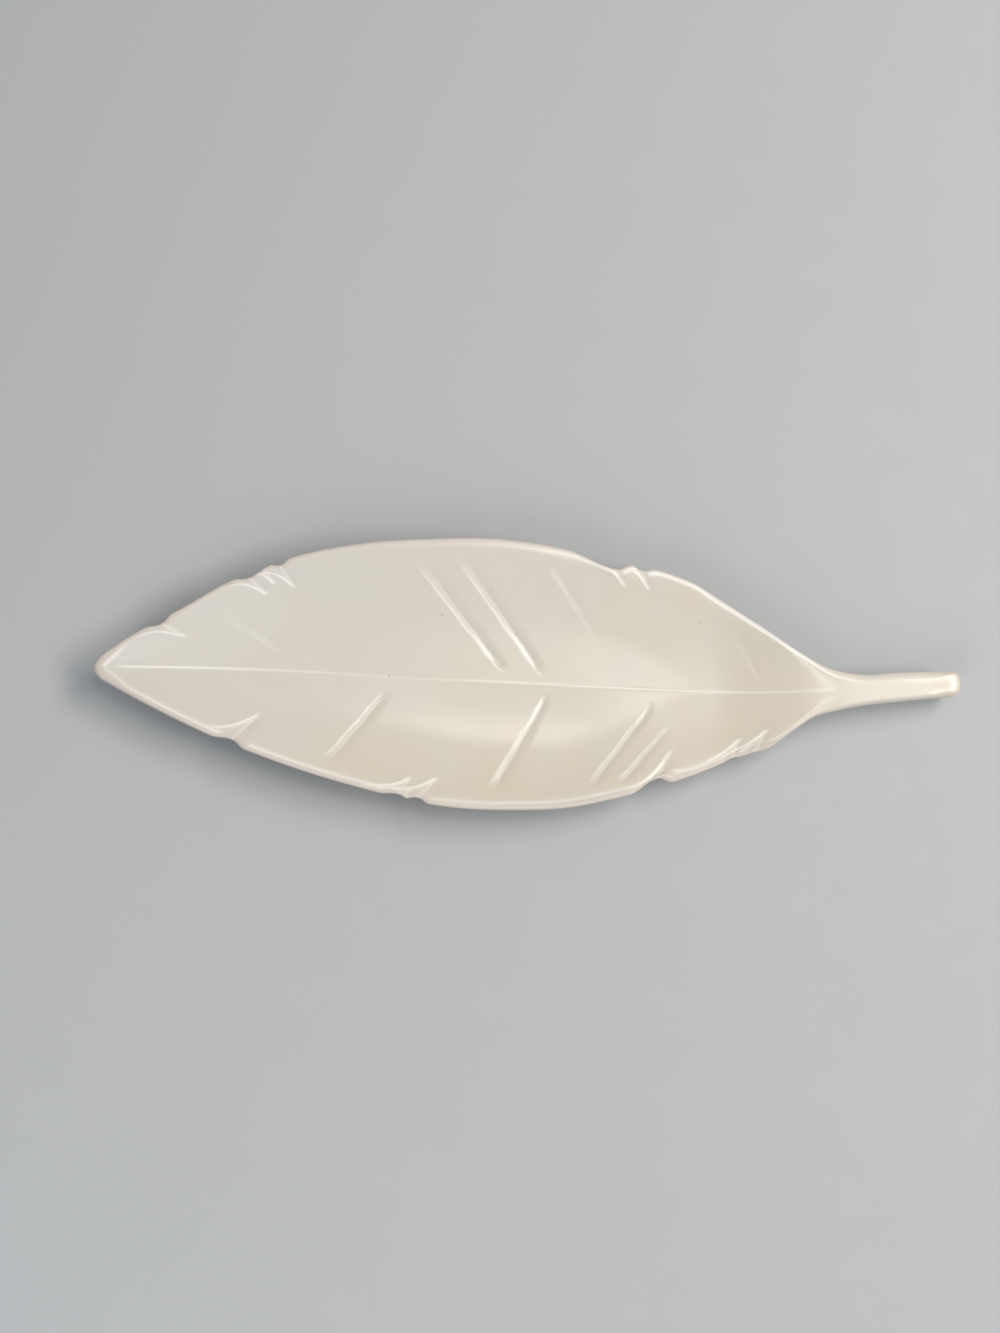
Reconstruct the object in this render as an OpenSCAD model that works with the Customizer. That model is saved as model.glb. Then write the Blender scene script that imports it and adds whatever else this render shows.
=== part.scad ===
// Leaf shaped serving plate: one glazed ceramic casting that stands on four stick-on bumpers.
// Sizes are in millimetres. X runs from the leaf's tip to the end of its stem, Y across the leaf and Z up.
// The origin lies under the middle of the plate, on the surface that it stands on.
// The far half of the blade is the one on +Y, and the near half is the one on -Y.

/* [Blade] */
// Length of the blade, from its tip to the root of the stem
blade_l = 290; // [240:5:340]
// Reach of the blade from its long axis to the far edge
far_w = 54.2; // [40:0.1:70]
// Reach of the blade from its long axis to the near edge
near_w = 53.2; // [40:0.1:70]
// Thickness of the blade
wall = 5; // [4:0.25:7]
// Height of the rim over the midrib where the blade is widest
rim_rise = 7.5; // [5:0.5:14]
// Width of the rounded edge of the rim
rim_round = 2.2; // [1.5:0.1:4]
// Width of the roll from the rounded edge into the hollow
roll_w = 4.5; // [2:0.5:8]
// Drop of the rim's inner edge over that roll
roll_h = 0.2; // [0.1:0.05:1]
// Length of the blunt nose at the tip
tip_nose = 3.5; // [2:0.25:6]
// Extra width of the rounded edge at the tip
tip_round = 1.6; // [0:0.1:3]
// Length from the tip over which that extra width runs out
tip_round_l = 15; // [8:1:30]
// Lift of the tip over the lowest place of the midrib
tip_lift = 9; // [3:0.5:14]

/* [Midrib and veins] */
// Swing of the midrib off the long axis
rib_swing = 5; // [0:0.2:8]
// Width of the raised line along the midrib, measured along the barbs
rib_w = 2.5; // [1:0.25:4]
// Height of the raised line along the midrib
rib_h = 0.2; // [0.1:0.05:1]
// Depth of a vein, which is a groove with a steep and a gentle side
vein_d = 0.6; // [0.3:0.1:2]
// Width of a vein's steep side, towards the tip
vein_wall_w = 1.6; // [1:0.1:3]
// Width of a vein's gentle side, towards the stem
vein_ramp_w = 4.2; // [2:0.1:6]

/* [Nicks in the rim] */
// Depth of a nick where it leaves the rim
nick_d = 0.9; // [0.4:0.1:2]
// Length that a nick's reach into the blade and its dip along the rim are shares of
nick_l = 10; // [6:0.5:14]
// Width of a nick's wall towards the tip, which each nick has a share of
nick_wall_w = 4; // [2:0.25:6]
// Dip of the edge at a nick, which each nick has a share of
nick_dip_d = 2; // [0.5:0.1:3]

/* [Stem] */
// Length of the stem beyond the blade
stem_l = 50; // [35:1:80]
// Length over which the blade flares into the stem
stem_flare = 10; // [5:0.5:20]
// Width of the stem at its root
stem_root_w = 12.5; // [9:0.5:20]
// Width of the stem at its end
stem_end_w = 10; // [7:0.5:16]
// Thickness of the stem
stem_t = 8; // [6:0.5:12]
// Crown of the stem's top and underside towards its far edge
stem_crown = 1.6; // [0.5:0.1:2.5]
// Length of the rounded end of the stem
stem_nose = 5; // [2:0.25:6]
// Lift of the stem's highest place over the lowest place of the midrib
stem_lift = 7; // [4:0.5:16]
// Distance from the end of the blade to the highest place of the stem
stem_crest = 4; // [0:0.5:20]
// Droop of the stem's end
stem_droop = 4; // [0:0.25:6]

/* [Foot] */
// Distance from the tip to the middle of the foot
foot_x = 158; // [130:1:180]
// Length of the oval foot
foot_l = 150; // [120:1:180]
// Width of the oval foot
foot_w = 44; // [36:1:60]
// Height of the foot at its middle
foot_h = 2.5; // [1.5:0.25:6]
// Width of the slope at the side of the foot
foot_slope = 1.5; // [0.5:0.25:4]

/* [Bumpers] */
// Diameter of a bumper
pad_d = 10; // [6:0.5:14]
// Thickness of a bumper
pad_t = 2; // [1:0.25:4]
// Chamfer round the underside of a bumper
pad_chamfer = 0.5; // [0.2:0.1:0.9]
// Distance between the bumpers along the plate
pad_step_x = 90; // [60:1:100]
// Distance between the bumpers across the plate
pad_step_y = 20; // [16:0.5:22]

/* [Hidden] */

glaze_colour = [0.87, 0.84, 0.79];
pad_colour = [0.82, 0.82, 0.80];
$fn = 64;

FAR = 1;
NEAR = -1;
plate_l = blade_l + stem_l;
stem_start = blade_l + stem_flare;

// Edges of the blade: place along the blade and reach from the long axis, both in percent
far_shape = [
    [0, 5], [5, 24], [12, 45.5], [17, 62], [26, 82.5], [36, 94.5], [45, 98.8], [53, 100], [60, 96.5],
    [69, 86.5], [78, 76], [81.5, 68.5], [84, 60], [89, 42.5], [95, 20.5], [98.5, 10]
];
near_shape = [
    [0, 6], [6, 23.5], [12, 39.5], [17, 51.5], [22, 62], [30, 76.5], [38, 88], [47, 98], [57, 100],
    [64, 97.5], [70, 90.5], [80, 73.5], [87, 58], [91, 51], [94, 39], [97, 28], [100, 23]
];
// Midrib: place along the blade in percent and share of its swing, then the same along the stem
rib_shape = [[0, 0], [17, 0.1], [31, -0.05], [42, -0.32], [60, -0.6], [80, -0.92], [95, -1]];
stem_shape = [[0, -0.74], [50, -0.3], [100, 0]];
// The leaf's barbs slant from the midrib towards the tip: place of a barb's root and of its end, in percent
far_barbs = [[15, 7.5], [29.5, 14.5], [56.5, 41.5], [61.5, 47.5], [72.2, 59.8], [91, 84]];
near_barbs = [[17, 9], [29, 18.5], [41, 30.5], [62, 52.5], [77, 65], [82, 69], [95, 86]];
// Veins lie on barbs: root in percent, start and end as shares of the barb, and strength at the start and end
far_veins = [
    [29.5, 0.34, 0.84, 0.25, 0.15], [56.5, 0.1, 0.9, 1, 0.8], [61.5, 0.09, 0.93, 1, 0.8],
    [72.2, 0.36, 0.87, 0.15, 0.5], [91, 0.14, 0.72, 0.15, 0.1]
];
near_veins = [
    [41, 0.19, 0.9, 1, 0.6], [62, 0.1, 0.88, 1, 0.8], [77, 0.14, 0.86, 0.75, 0.6], [82, 0.37, 0.86, 0.4, 0.8]
];
// Nicks, all in percent: the mouth's place along the blade, then shares of the nicks' sizes: reach along and
// into the blade, width of the wall, length of the dip before and after the mouth, and depth of the dip
far_nicks = [
    [8.8, 105, 50, 100, 75, 40, 95], [20.4, 80, 70, 100, 70, 90, 105], [22.5, 45, 70, 45, 30, 30, 0],
    [24.5, 65, 90, 90, 45, 40, 80], [70, 50, 75, 100, 200, 80, 160], [73.7, 35, 85, 75, 40, 60, 80]
];
near_nicks = [
    [19, 105, 105, 115, 90, 50, 95], [41.4, 50, 70, 75, 80, 45, 65], [44, 80, 85, 90, 65, 45, 85],
    [75.9, 60, 120, 125, 110, 65, 170], [86.1, 30, 80, 75, 50, 35, 35], [89.1, 45, 90, 75, 50, 35, 25]
];
// Width of a nick's gentle side, towards the stem, as a share of its wall, at the mouth and at its inner end
ramp_share = 2.2;
ramp_end_share = 0.77;
// Share of the nicks' length over which the surface inside the rim follows a dip in the edge
band_share = 1.3;

// The hollow across the blade, with places along the blade in percent: the share of its rise that starts at
// the midrib, the reach of its floor as a share of the way to the edge, and the slight twist as a slope
far_crease = [[0, 0.12], [40, 0.06], [56, -0.06], [70, -0.1], [80, -0.04], [90, 0.08], [120, 0.08]];
near_crease = [
    [0, 0.12], [40, 0.06], [56, -0.06], [66, -0.06], [72, 0.04], [78, 0.1], [90, 0.1], [120, 0.1]
];
far_floor = [
    [0, 0.4], [50, 0.48], [65, 0.47], [71, 0.37], [76, 0.2], [79, 0.09], [82, 0], [88, 0], [120, 0]
];
near_floor = [
    [0, 0.4], [40, 0.44], [60, 0.46], [67, 0.36], [74, 0.17], [78, 0.07], [82, 0.01], [88, 0], [120, 0]
];
twist_shape = [
    [0, -0.05], [10, -0.04], [22, 0], [42, 0.04], [56, 0.05], [64, 0.06], [70, 0.04], [76, 0.01], [82, 0],
    [120, 0]
];
// Roundness of the elbow at the floor's edge and its share of the rise, and how the rest of the rise grows
elbow_round = 0.12;
elbow_share = 0.4;
far_power = 2.7;
near_power = 3.3;
// How the rim's rise grows with the reach of the blade, and the droop along the stem
rise_power = 0.95;
droop_power = 1.2;
// Places along the blade, as shares of it: the lowest one, and where the hollow starts to fade to the stem
lowest_share = 0.82;
fade_share = 0.92;
// Share of the stem's crown on its near side
near_crown_share = 0.125;
// Shares of a vein's length over which it runs out, at the midrib and at the rim
vein_in_share = 0.06;
vein_out_share = 0.2;
// Share of the stem's half width that is rounded, and the greatest share of a way that the rounding takes
stem_round_share = 0.5;
most_round_share = 0.75;
// Greatest share of the room inside the rounding that the roll takes
roll_most_share = 0.5;
// Distance kept from the ends of the plate to the ends of the surface's middle lines
tip_margin = 1.2;
tip_inset = rim_round + tip_round + tip_margin;
stem_inset = stem_end_w / 2;

// Fineness of the surface: steps along it, turns round its edges and levels from the edge to the middle
step_count = 54;
least_step = 0.6;
least_even_step = 2.4;
step_per_width = 1.3;
nose_turns = [20, 45, 70, 90];
foot_turns = [0, 15, 30, 50];
rim_turns = [0, 25, 50, 70, 90];
under_turns = [35, 65, 90];
top_levels = [0.04, 0.09, 0.16, 0.3, 0.46, 0.62, 0.78, 0.91];
hull_levels = [0.33, 0.67, 1];
reach_steps = 400;
root_tries = 24;
stem_points = [0, 33, 67, 100];
// Lengths of a way from the edge to the middle between which its levels change from even to the ones above
narrow_way = 5;
wide_way = 40;
// Least sine of the angle between a way and the edge, for the width of the rounding
least_sine = 0.5;
// Greatest share of a way, from the middle line, that the raised line takes
rib_most_share = 0.1;
// Shares of a way, from the middle line, where the last two levels lie beyond the ends of the foot
past_foot_shares = [0.2, 0.4];

function along(percent) = blade_l * percent / 100;
function ease(low, high, x) =
    let (u = max(0, min(1, (x - low) / (high - low))))
    u * u * (3 - 2 * u);

// A smooth curve through points with rising x
function span_at(points, x, i = 0) =
    i >= len(points) - 2 || x < points[i + 1].x ? i : span_at(points, x, i + 1);
function chord(points, i) = (points[i + 1].y - points[i].y) / (points[i + 1].x - points[i].x);
function slope_at(points, i) =
    i == 0 ? chord(points, 0) :
    i == len(points) - 1 ? chord(points, i - 1) :
    let (before = points[i].x - points[i - 1].x, after = points[i + 1].x - points[i].x)
    (chord(points, i - 1) * after + chord(points, i) * before) / (before + after);
function curve(points, x) =
    let (i = span_at(points, x), a = points[i], b = points[i + 1], h = b.x - a.x, u = (x - a.x) / h)
    a.y * (1 + 2 * u) * (1 - u) ^ 2 + slope_at(points, i) * h * u * (1 - u) ^ 2
        + b.y * u ^ 2 * (3 - 2 * u) - slope_at(points, i + 1) * h * u ^ 2 * (1 - u);

// The midrib, which goes on as the middle of the stem
function stem_place(percent) = stem_start + (plate_l - stem_start) * percent / 100;
rib_line = concat(
    [for (p = rib_shape) [along(p.x), rib_swing * p.y]],
    [for (p = stem_shape) [stem_place(p.x), rib_swing * p.y]]
);
function rib_y(x) = curve(rib_line, x);

// Half width of the stem
function stem_half(x) =
    let (u = max(0, (x - stem_start) / (plate_l - stem_start)))
    (stem_root_w + (stem_end_w - stem_root_w) * u) / 2;

// Edges, as distances from the long axis
function half_w(side) = side == FAR ? far_w : near_w;
function edge_line(side) = concat(
    [for (p = side == FAR ? far_shape : near_shape) [along(p.x), half_w(side) * p.y / 100]],
    [for (percent = stem_points)
        let (x = stem_place(percent))
        [x, stem_half(x) + side * rib_y(x)]]
);
far_line = edge_line(FAR);
near_line = edge_line(NEAR);

// Rounding of the outline at the tip and at the end of the stem
function nose(x) = sqrt(1 - max(0, 1 - x / tip_nose) ^ 2);
function tail(x) = (1 - max(0, 1 - (plate_l - x) / stem_nose) ^ 3) ^ (1 / 3);

// Distance from the midrib to the edge without its nicks, and the edge in plan without and with them
function reach(side, x) =
    (curve(side == FAR ? far_line : near_line, x) - side * rib_y(x)) * nose(x) * tail(x);
function nicks(side) = side == FAR ? far_nicks : near_nicks;
function nick_dip(nick, x) =
    let (past = x - along(nick[0]), u = past / (nick_l * (past < 0 ? nick[4] : nick[5]) / 100))
    abs(u) < 1 ? nick_dip_d * nick[6] / 100 * (1 + cos(180 * u)) / 2 : 0;
function dips(side, x) =
    let (depths = [for (nick = nicks(side)) nick_dip(nick, x)])
    max(depths);
function whole_edge(side, x) = [x, rib_y(x) + side * reach(side, x)];
function edge(side, x) = whole_edge(side, x) - [0, side * dips(side, x)];

// Along the plate: how much of the section is blade, the top of the midrib, the thickness and the roundings
function blade_part(x) = 1 - ease(blade_l * fade_share, stem_start, x);
function lift(x) =
    let (low = blade_l * lowest_share, crest = blade_l + stem_crest)
    tip_lift * max(0, (low - x) / low) ^ 2 + stem_lift * ease(low, crest, x)
        - stem_droop * max(0, (x - crest) / (plate_l - crest)) ^ droop_power;
function rib_z(x) = pad_t + foot_h + wall + lift(x);
function thickness(x) = stem_t + (wall - stem_t) * blade_part(x);
function crown(side, x) = stem_crown * (side == FAR ? 1 : near_crown_share) * (1 - blade_part(x));
function round_w(x) =
    stem_half(x) * stem_round_share * (1 - blade_part(x))
        + (rim_round + tip_round * (1 - ease(0, tip_round_l, x))) * blade_part(x);
function rim_height(side, x) = rim_rise * (reach(side, x) / half_w(side)) ^ rise_power * blade_part(x);

// The hollow as a share of the rim's rise, t being the share of the way from the midrib to the edge
function blade_line(shape) = [for (p = shape) [along(p.x), p.y]];
far_crease_line = blade_line(far_crease);
near_crease_line = blade_line(near_crease);
far_floor_line = blade_line(far_floor);
near_floor_line = blade_line(near_floor);
twist_line = blade_line(twist_shape);
function bend(t, floor_t) = norm([t - floor_t, elbow_round]) + t - floor_t;
function dish(t, side, x) =
    let (crease = curve(side == FAR ? far_crease_line : near_crease_line, x))
    let (floor_t = curve(side == FAR ? far_floor_line : near_floor_line, x))
    let (first = bend(0, floor_t), last = bend(1, floor_t))
    let (flank = (bend(t, floor_t) - first) / (last - first), power = side == FAR ? far_power : near_power)
    crease * t + (1 - crease - elbow_share) * t ^ power + elbow_share * flank;
function twist(p, t) = curve(twist_line, p.x) * (p.y - rib_y(p.x)) * (1 - t ^ 2) * blade_part(p.x);

// Barbs: the place on the edge where one ends that starts at root, and the root of one that ends at a place
function barb_line(side) = concat(
    [[tip_inset, 0]],
    [for (p = side == FAR ? far_barbs : near_barbs) [along(p.x), along(p.y)]],
    [[stem_start, stem_start - stem_flare / 2], [plate_l - stem_inset, plate_l]]
);
far_barb_line = barb_line(FAR);
near_barb_line = barb_line(NEAR);
function barb_end(side, root) = curve(side == FAR ? far_barb_line : near_barb_line, root);
function barb_root(side, end, low = tip_inset, high = plate_l - stem_inset, tries = root_tries) =
    let (middle = (low + high) / 2)
    tries == 0 ? middle :
    barb_end(side, middle) < end ? barb_root(side, end, middle, high, tries - 1) :
    barb_root(side, end, low, middle, tries - 1);

// On the underside the ways from the edge to the middle line are nearly square to it
middle_span = plate_l - tip_inset - stem_inset;
function under_place(root) =
    tip_inset + middle_span * (barb_end(FAR, root) + barb_end(NEAR, root)) / 2 / plate_l;
function under_root(place, low = tip_inset, high = plate_l - stem_inset, tries = root_tries) =
    let (middle = (low + high) / 2)
    tries == 0 ? middle :
    under_place(middle) < place ? under_root(place, middle, high, tries - 1) :
    under_root(place, low, middle, tries - 1);

// Veins and nicks in plan, each as a start, a direction, a length and its two strengths or its wall's width
function plan_path(from, to, last) = [from, (to - from) / norm(to - from), norm(to - from), last];
function vein_path(side, vein) =
    let (root = along(vein[0]), a = [root, rib_y(root)], b = whole_edge(side, barb_end(side, root)))
    plan_path(a + (b - a) * vein[1], a + (b - a) * vein[2], [vein[3], vein[4]]);
function nick_path(side, nick) =
    let (mouth = edge(side, along(nick[0])), inner = [nick[1], -side * nick[2]] * nick_l / 100)
    plan_path(mouth + inner, mouth, nick_wall_w * nick[3] / 100);
vein_paths = concat(
    [for (vein = far_veins) vein_path(FAR, vein)],
    [for (vein = near_veins) vein_path(NEAR, vein)]
);
nick_paths = concat(
    [for (nick = far_nicks) nick_path(FAR, nick)],
    [for (nick = near_nicks) nick_path(NEAR, nick)]
);

// Depth of the veins and nicks at a point in plan: both have a straight wall towards the tip and a ramp that
// runs out softly towards the stem
function on_wall(path, p) = sign(path[1].y) * cross(path[1], p - path[0]) > 0;
function vein_depth(path, p) =
    let (s = (p - path[0]) * path[1] / path[2], away = abs(cross(path[1], p - path[0])))
    let (groove = on_wall(path, p) ? max(0, 1 - away / vein_wall_w) : max(0, 1 - away / vein_ramp_w) ^ 2)
    s <= 0 || s >= 1 ? 0 :
    vein_d * (path[3][0] + (path[3][1] - path[3][0]) * s) * groove
        * min(1, s / vein_in_share, (1 - s) / vein_out_share);
function nick_depth(path, p) =
    let (s = (p - path[0]) * path[1] / path[2], away = abs(cross(path[1], p - path[0])), part = min(s, 1))
    let (ramp_w = path[3] * (ramp_end_share + (ramp_share - ramp_end_share) * part))
    s <= 0 ? 0 :
    nick_d * (on_wall(path, p) ? max(0, part - away / path[3]) : part * max(0, 1 - away / ramp_w) ^ 2);
function cut_depth(p) = max(
    max([for (path = vein_paths) vein_depth(path, p)]),
    max([for (path = nick_paths) nick_depth(path, p)])
);

// Heights of the top and the underside
function hollow_z(p, t, side, rise) = rib_z(p.x) + rise * dish(t, side, p.x) + twist(p, t);
function top_z(p, t, side, rise) = hollow_z(p, t, side, rise) - crown(side, p.x) * t ^ 2 - cut_depth(p);
function hull_z(p, t, side, rise) = hollow_z(p, t, side, rise) + crown(side, p.x) * t ^ 2 - thickness(p.x);

// Stations: the roots of the barbs that the surface is drawn along, closer at every vein and nick
function sorted(list) =
    len(list) < 2 ? list :
    let (pivot = list[floor(len(list) / 2)])
    concat(sorted([for (v = list) if (v < pivot) v]), [pivot], sorted([for (v = list) if (v > pivot) v]));
function spaced(list, i = 0, kept = []) =
    i == len(list) ? kept :
    len(kept) > 0 && list[i] - kept[len(kept) - 1] < least_step ? spaced(list, i + 1, kept) :
    spaced(list, i + 1, concat(kept, [list[i]]));
function vein_roots(veins) =
    [for (vein = veins, off = [-vein_wall_w, 0, vein_ramp_w / 2, vein_ramp_w])
        along(vein[0]) + off * step_per_width];
function nick_roots(side) =
    [for (nick = nicks(side), k = [-1, 0, 1])
        barb_root(side, along(nick[0]) + k * nick_wall_w * nick[3] / 100)];
function end_roots() = concat(
    [for (turn = nose_turns) barb_root(FAR, tip_nose * (1 - cos(turn)))],
    [for (turn = nose_turns) barb_root(FAR, plate_l - stem_nose * (1 - cos(turn)))]
);
function foot_roots() =
    [for (turn = foot_turns, way = [-1, 1]) under_root(foot_x + way * foot_l / 2 * cos(turn))];
function station_roots() =
    let (first = tip_inset, last = plate_l - stem_inset, gap = least_step / 2)
    let (marks = concat(
        vein_roots(far_veins), vein_roots(near_veins),
        nick_roots(FAR), nick_roots(NEAR), end_roots(), foot_roots()))
    let (even = [for (i = [1:step_count - 1]) first + (last - first) * i / step_count])
    let (between = [for (v = even) if (min([for (m = marks) abs(m - v)]) > least_even_step) v])
    let (inner = [for (v = concat(marks, between)) if (v > first + gap && v < last - gap) v])
    concat([first], spaced(sorted(inner)), [last]);

// Half width of the foot
function foot_half(x) = foot_w / 2 * sqrt(max(0, 1 - ((x - foot_x) / (foot_l / 2)) ^ 2));

// Middle of the plate in plan, from its tip: its widest places lie on whole stretches of the two edges
function side_reach(side) =
    max([for (i = [0:reach_steps]) let (p = edge(side, blade_l * i / reach_steps)) side * p.y]);
function plate_middle() = [plate_l / 2, (side_reach(FAR) - side_reach(NEAR)) / 2, 0];

// The surface is drawn in rings. A ring runs from the tip along the far edge to the stem and back along the
// near edge. The first ring is the edge, which both sides share, and each side ends on a middle line.
module plate_body() {
    roots = station_roots();
    count = len(roots);
    ring = 2 * count - 2;
    places = [0:ring - 1];
    station = [for (i = places) i < count ? i : ring - i];
    side = [for (i = places) i < count ? FAR : NEAR];
    ends = [for (i = places) barb_end(side[i], roots[station[i]])];
    edges = [for (i = places) edge(side[i], ends[i])];
    rises = [for (i = places) rim_height(side[i], ends[i])];

    // Ways from the edge without its nicks to the two middle lines
    whole_edges = [for (i = places) whole_edge(side[i], ends[i])];
    under_x = [for (x = roots) under_place(x)];
    top_middle = [for (x = roots) [x, rib_y(x)]];
    under_middle = [for (x = under_x) [x, rib_y(x)]];
    top_ways = [for (i = places) top_middle[station[i]] - whole_edges[i]];
    under_ways = [for (i = places) under_middle[station[i]] - whole_edges[i]];
    edge_z = [for (i = places)
        (top_z(edges[i], 1, side[i], rises[i]) + hull_z(edges[i], 1, side[i], rises[i])) / 2];

    // A place on a way moves with the edge where a nick takes it in, less and less away from it
    function on_way(i, ways, share) =
        let (off = ease(0, nick_l * band_share, share * norm(ways[i])))
        whole_edges[i] + ways[i] * share + (edges[i] - whole_edges[i]) * (1 - off);

    // Share of each way that the rounded edge takes, measured square to the edge
    function round_share(i, way) =
        let (run = whole_edges[(i + 1) % ring] - whole_edges[(i + ring - 1) % ring])
        let (square = abs(cross(run, way)) / norm(run) / norm(way))
        min(most_round_share, round_w(ends[i]) / max(least_sine, square) / norm(way));
    top_start = [for (i = places) round_share(i, top_ways[i])];
    under_start = [for (i = places) round_share(i, under_ways[i])];

    // A narrow stretch has its levels evenly apart, and the last one is the foot of the midrib's raised line
    function rib_share(i) = 1 - min(rib_most_share, rib_w / 2 / norm(top_ways[i]));
    function top_share(i, k) =
        let (wide = ease(narrow_way, wide_way, norm(top_ways[i])), even = (k + 1) / (len(top_levels) + 1))
        top_start[i] + (rib_share(i) - top_start[i]) * (even + (top_levels[k] - even) * wide);
    function roll(i, share) =
        let (room = (1 / top_start[i] - 1) * round_w(ends[i]), inside = max(0, share / top_start[i] - 1))
        let (past = inside * round_w(ends[i]) / min(roll_w, room * roll_most_share))
        roll_h * max(0, 1 - past) ^ 2 * blade_part(ends[i]);
    function top_point(i, share, turn) =
        let (p = on_way(i, top_ways, share), z = top_z(p, 1 - share, side[i], rises[i]) - roll(i, share))
        [p.x, p.y, edge_z[i] + (z - edge_z[i]) * sin(turn)];
    function under_point(i, share, turn) =
        let (p = on_way(i, under_ways, share), z = hull_z(p, 1 - share, side[i], rises[i]))
        [p.x, p.y, edge_z[i] + (z - edge_z[i]) * sin(turn)];

    // The foot is flat on the bumpers' tops, and beyond its ends the underside runs on
    function on_foot(i) = foot_half(under_x[station[i]]) > foot_slope;
    function foot_share(i, past) =
        let (half = foot_half(under_x[station[i]]), way = norm(under_ways[i]))
        on_foot(i) ? 1 - (half + past) / way :
        1 - min((foot_slope + past) / way, (1 - under_start[i]) * past_foot_shares[past > 0 ? 1 : 0]);
    function hull_share(i, level) = under_start[i] + (foot_share(i, foot_slope) - under_start[i]) * level;
    function foot_point(i) =
        let (p = under_point(i, foot_share(i, 0), 90))
        on_foot(i) ? [p.x, p.y, pad_t] : p;

    top_points = concat(
        [for (turn = rim_turns, i = places) top_point(i, top_start[i] * (1 - cos(turn)), turn)],
        [for (k = [0:len(top_levels) - 1], i = places) top_point(i, top_share(i, k), 90)],
        [for (i = places) top_point(i, rib_share(i), 90)],
        [for (p = top_middle) [p.x, p.y, rib_z(p.x) + rib_h * blade_part(p.x)]]
    );
    under_points = concat(
        [for (turn = under_turns, i = places) under_point(i, under_start[i] * (1 - cos(turn)), turn)],
        [for (level = hull_levels, i = places) under_point(i, hull_share(i, level), 90)],
        [for (i = places) foot_point(i)],
        [for (j = [0:count - 1]) [
            under_x[j], rib_y(under_x[j]), on_foot(j) ? pad_t : hull_z(under_middle[j], 0, FAR, 0)
        ]]
    );

    // Faces between neighbouring rings, and from the last ring to the middle line
    top_rings = len(rim_turns) + len(top_levels) + 1;
    under_rings = len(under_turns) + len(hull_levels) + 1;
    first_under = len(top_points);
    function top_at(k, i) = k < top_rings ? k * ring + i % ring : k * ring + station[i % ring];
    function under_at(k, i) =
        k == 0 ? i % ring :
        first_under + (k - 1) * ring + (k <= under_rings ? i % ring : station[i % ring]);
    faces = concat(
        [for (k = [0:top_rings - 1], i = places, half = [0, 1])
            half == 0 ? [top_at(k, i), top_at(k, i + 1), top_at(k + 1, i + 1)]
                : [top_at(k, i), top_at(k + 1, i + 1), top_at(k + 1, i)]],
        [for (k = [0:under_rings], i = places, half = [0, 1])
            half == 0 ? [under_at(k, i), under_at(k + 1, i + 1), under_at(k, i + 1)]
                : [under_at(k, i), under_at(k + 1, i), under_at(k + 1, i + 1)]]
    );

    color(glaze_colour)
        translate(-plate_middle())
            polyhedron(points = concat(top_points, under_points), faces = faces, convexity = 6);
}

module pad(tip_side, side) {
    x = foot_x - tip_side * pad_step_x / 2;
    color(pad_colour)
        translate([x, rib_y(x) + side * pad_step_y / 2, 0] - plate_middle())
            rotate_extrude()
                polygon([
                    [0, 0], [pad_d / 2 - pad_chamfer, 0], [pad_d / 2, pad_chamfer],
                    [pad_d / 2, pad_t], [0, pad_t]
                ]);
}

plate_body();
pad(1, FAR);  // pad_tip_far
pad(1, NEAR);  // pad_tip_near
pad(-1, FAR);  // pad_stem_far
pad(-1, NEAR);  // pad_stem_near
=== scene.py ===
"""A satin white ceramic leaf plate on four silicone bumpers, seen from above on a pale floor."""
import math

import bpy
import numpy as np
from mathutils import Matrix, Vector


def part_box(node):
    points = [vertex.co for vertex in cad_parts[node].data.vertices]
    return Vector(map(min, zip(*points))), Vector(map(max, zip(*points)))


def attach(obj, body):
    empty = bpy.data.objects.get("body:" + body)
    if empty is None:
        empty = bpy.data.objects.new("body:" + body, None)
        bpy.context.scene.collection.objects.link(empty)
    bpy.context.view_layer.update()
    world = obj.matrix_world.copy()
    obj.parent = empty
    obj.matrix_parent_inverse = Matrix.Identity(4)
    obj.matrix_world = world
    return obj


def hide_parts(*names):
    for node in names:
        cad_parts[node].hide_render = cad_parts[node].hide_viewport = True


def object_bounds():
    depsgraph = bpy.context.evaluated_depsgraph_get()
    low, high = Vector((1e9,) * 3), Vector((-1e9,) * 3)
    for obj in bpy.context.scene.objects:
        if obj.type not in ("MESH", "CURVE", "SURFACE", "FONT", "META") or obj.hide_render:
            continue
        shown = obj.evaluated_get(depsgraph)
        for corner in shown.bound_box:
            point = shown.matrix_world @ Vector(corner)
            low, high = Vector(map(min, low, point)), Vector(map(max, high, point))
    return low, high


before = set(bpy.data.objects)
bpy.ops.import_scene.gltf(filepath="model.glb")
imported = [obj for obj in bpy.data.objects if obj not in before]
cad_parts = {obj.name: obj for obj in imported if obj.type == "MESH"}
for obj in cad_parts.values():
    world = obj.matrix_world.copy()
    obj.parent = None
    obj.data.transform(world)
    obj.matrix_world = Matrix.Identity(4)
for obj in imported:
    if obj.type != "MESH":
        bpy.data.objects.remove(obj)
cad_low, cad_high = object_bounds()

MM = 0.001

# The two halves of the blade, and the stem's end
FAR = 1
NEAR = -1
END = 0

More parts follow.
